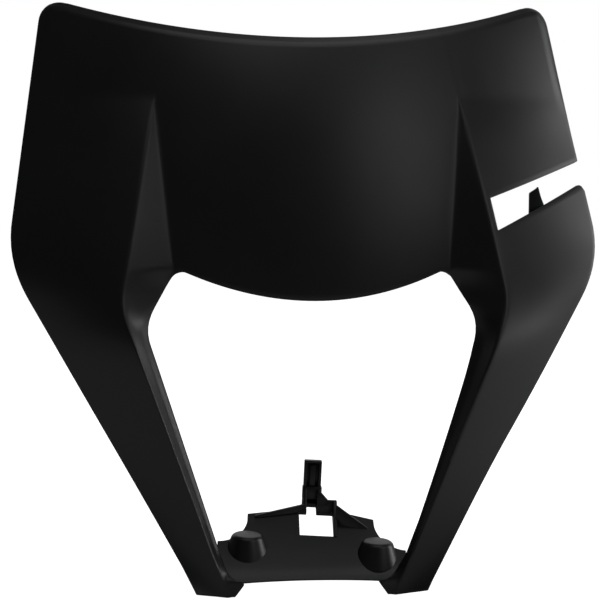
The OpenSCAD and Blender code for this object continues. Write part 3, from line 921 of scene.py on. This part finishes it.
# %% Panel, side wall and the foot of the post
THIN, SIDE_X, PANEL_H, SOFTER = 2, 13.1, 39.8, 0.5
LEG_W, LEG_SLOPE_H, COLLAR_LOW, COLLAR_H, SPUR_X = 1.8, 1.5, 39, 45.6, 8.6
clip = bmesh.new()
low, post_low = tray_top(PANEL_D) - 1, tray_top(POST_D) - WALL
panel_back = PANEL_D + THIN
window_h = tray_top(WINDOW_D)
box(clip, (NOTCH_R, PANEL_D, low), (SIDE_X, panel_back, PANEL_H), SOFTER)
prism(clip, [(WINDOW_D - 1, window_h - WALL), (WINDOW_D - 1, window_h + 0.4),
             (PANEL_D, PANEL_H), (panel_back, PANEL_H), (panel_back, low - 1)],
      "x", WINDOW_R, SIDE_X, SOFTER)
for x in (POST_L, POST_R - LEG_W):
    prism(clip, [(PANEL_D, low), (PANEL_D, low + LEG_SLOPE_H), (NOTCH_D, COLLAR_H),
                 (POST_D, COLLAR_H), (POST_D, post_low), (panel_back, low - 1)], "x", x, x + LEG_W)
box(clip, (POST_L, POST_D - THIN, post_low), (POST_R, POST_D, COLLAR_LOW + 1))
box(clip, (POST_L - 0.4, NOTCH_D - 0.6, COLLAR_LOW), (POST_R + 0.5, POST_D, COLLAR_H), SOFTER)
prism(clip, [(NOTCH_R, PANEL_H - 3), (NOTCH_R, PANEL_H + 3.8), (POST_R, PANEL_H + 3.8),
             (SPUR_X, PANEL_H), (SPUR_X, PANEL_H - 3)], "y", PANEL_D, panel_back)
print("the clip has", len(clip.faces), "faces so far")

# %% Channel and rib
CHANNEL_W, CHANNEL_LOW, POST_H, CAP, ROUNDED = 1.5, 45, 58.6, 1.2, 0.4
RIB_LOW, RIB_HIGH = (-0.9, 47.8, 44.6), (2.1, 51.8, 56.2)
channel_l, channel_r, channel_d = POST_L + CHANNEL_W, POST_R - CHANNEL_W, POST_D - CHANNEL_W
prism(clip, [(POST_L, NOTCH_D), (channel_l, NOTCH_D), (channel_l, channel_d),
             (channel_r, channel_d), (channel_r, NOTCH_D), (POST_R, NOTCH_D), (POST_R, POST_D),
             (POST_L, POST_D)], "z", CHANNEL_LOW, POST_H - ROUNDED)
box(clip, (POST_L, NOTCH_D, POST_H - CAP), (POST_R, POST_D, POST_H), ROUNDED)
box(clip, RIB_LOW, RIB_HIGH, ROUNDED)
print("the clip has", len(clip.faces), "faces so far")


# %% The braces
def brace(start, end, rise):
    run = Vector(end) - Vector(start)
    place = (Matrix.Translation((*start, 0))
             @ Matrix.Rotation(-Vector((1, 0)).angle_signed(run), 4, "Z"))
    prism(clip, [(0, tray_top(start[1]) - 1), (0, tray_top(start[1]) + rise),
                 (run.length, tray_top(end[1]) + 0.4), (run.length, tray_top(end[1]) - 1)],
          "y", 0, THIN, place=place)


RIB_FROM, RIB_TO, RIB_RISE = (-3.3, 42.5), (-28.2, 37), 3.2
GUSSET_FROM, GUSSET_TO, GUSSET_RISE = (12.1, 33.1), (28.4, 30.7), 9.8
brace(RIB_FROM, RIB_TO, RIB_RISE)
brace(GUSSET_FROM, GUSSET_TO, GUSSET_RISE)
straight = Vector((CLIP_X, CLIP_D, tray_top(CLIP_D)))
clip.transform(Matrix.Translation(ORIGIN) @ TURN @ Matrix.Translation(-straight))
finish_piece(clip, "clip")

# %% [markdown]
# ## The hook in the slot
#
# A small hook stands in the slot, behind the lower wing. It keeps a hose or a cable from
# slipping out sideways.

# %% Stand the hook behind the wing
HOOK_L, HOOK_R, HOOK_THICK, HOOK_ROOT, HOOK_ROUND = 110.5, 116.9, 2.2, 6, 0.4
hook = bmesh.new()
hook_h = slot_low(HOOK_L)
share = (HOOK_R - ridge_x(hook_h)) / (outer_x(hook_h) - ridge_x(hook_h))
hook_d = wing_point(hook_h, share)[1] + WALL / 2
prism(hook, [(HOOK_L - 1, hook_h - HOOK_ROOT), (HOOK_R + 1, hook_h - HOOK_ROOT),
             (HOOK_R, slot_low(HOOK_R)), (HOOK_R - 1.6, hook_h + 6.7),
             (HOOK_R - 3, hook_h + 11.7), (HOOK_L + 2.4, hook_h + 10.7),
             (HOOK_L - 1, hook_h + 8.5)], "y", hook_d, hook_d + HOOK_THICK, HOOK_ROUND)
finish_piece(hook, "hook")

# %% [markdown]
# ## Floor
#
# The photograph has a plain white ground, and no shadow shows on it. The floor is a flat
# grid just under the legs' tips. It is pale, and to the camera alone it also glows, so that
# it is as white as the ground behind it. The cowl itself sees only a pale floor.

# %% Pale floor
FLOOR_GREY, FLOOR_ROUGHNESS, FLOOR_HALF, FLOOR_GAP = 0.85, 0.9, 3, 0.0005
WHITE = (1, 1, 1, 1)
pale = bpy.data.materials.new("pale_floor")
pale.use_nodes = True
pale_shader = pale.node_tree.nodes["Principled BSDF"]
pale_shader.inputs["Base Color"].default_value = (FLOOR_GREY, FLOOR_GREY, FLOOR_GREY, 1)
pale_shader.inputs["Roughness"].default_value = FLOOR_ROUGHNESS
pale_shader.inputs["Emission Color"].default_value = WHITE
floor_path = pale.node_tree.nodes.new("ShaderNodeLightPath")
pale.node_tree.links.new(floor_path.outputs["Is Camera Ray"],
                         pale_shader.inputs["Emission Strength"])
floor = bmesh.new()
bmesh.ops.create_grid(floor, x_segments=1, y_segments=1, size=FLOOR_HALF)
bmesh.ops.translate(floor, verts=floor.verts, vec=(0, 0, cad_low.z - FLOOR_GAP))
floor_mesh = bpy.data.meshes.new("floor")
floor.to_mesh(floor_mesh)
floor.free()
floor_mesh.materials.append(pale)
floor_object = bpy.data.objects.new("floor", floor_mesh)
bpy.context.scene.collection.objects.link(floor_object)
print("the floor lies at", round(cad_low.z * 1000, 1), "mm")

# %% [markdown]
# ## Backdrop
#
# What the camera sees past the object is the world. It is white for the camera alone and a
# dim grey for everything else, because black plastic shows each light that it reflects.

# %% A world that is white only to the camera
WORLD_DIM = 0.05
world = bpy.data.worlds.new("studio")
bpy.context.scene.world = world
world.use_nodes = True
nodes, links = world.node_tree.nodes, world.node_tree.links
dim = nodes["Background"]
dim.inputs["Color"].default_value = WHITE
dim.inputs["Strength"].default_value = WORLD_DIM
path = nodes.new("ShaderNodeLightPath")
white = nodes.new("ShaderNodeBackground")
white.inputs["Strength"].default_value = 1
white.inputs["Color"].default_value = WHITE
both = nodes.new("ShaderNodeMixShader")
links.new(path.outputs["Is Camera Ray"], both.inputs["Fac"])
links.new(dim.outputs[0], both.inputs[1])
links.new(white.outputs[0], both.inputs[2])
links.new(both.outputs[0], nodes["World Output"].inputs["Surface"])
print("the world's strength on the object is", WORLD_DIM)

# %% [markdown]
# ## Lights
#
# Four softboxes light the cowl. A tall one far to the right gives the right wing and leg
# their sheen, and a weaker one in front on that side reaches the plate beside it. One above
# lights the tray and the rolled top edge, and one behind is mirrored in the tops of the
# domes. The left side is left dark, as in the photograph, which is what shows that the
# wings turn away from each other.

# %% Softboxes
def softbox(name, place, aim, width, height, power):
    data = bpy.data.lights.new(name, "AREA")
    data.shape = "RECTANGLE"
    data.size, data.size_y, data.energy = width, height, power
    light = bpy.data.objects.new(name, data)
    light.matrix_world = aimed(Vector(place), Vector(aim) - Vector(place))
    bpy.context.scene.collection.objects.link(light)
    return light


softbox("softbox_front", (0.8, -0.95, 0.9), (0, 0, 0.12), 0.7, 0.9, 1.7)
softbox("softbox_side", (1.25, 0.15, 0.25), (0, 0, 0.12), 0.5, 1.2, 7)
softbox("softbox_top", (0.1, -0.15, 1.35), (0, 0, 0.1), 1.2, 0.8, 3)
softbox("softbox_rear", (0.2, 1.2, 0.6), (0, 0, 0.05), 2.0, 0.9, 3).visible_camera = False
bpy.context.scene.view_settings.view_transform = "Standard"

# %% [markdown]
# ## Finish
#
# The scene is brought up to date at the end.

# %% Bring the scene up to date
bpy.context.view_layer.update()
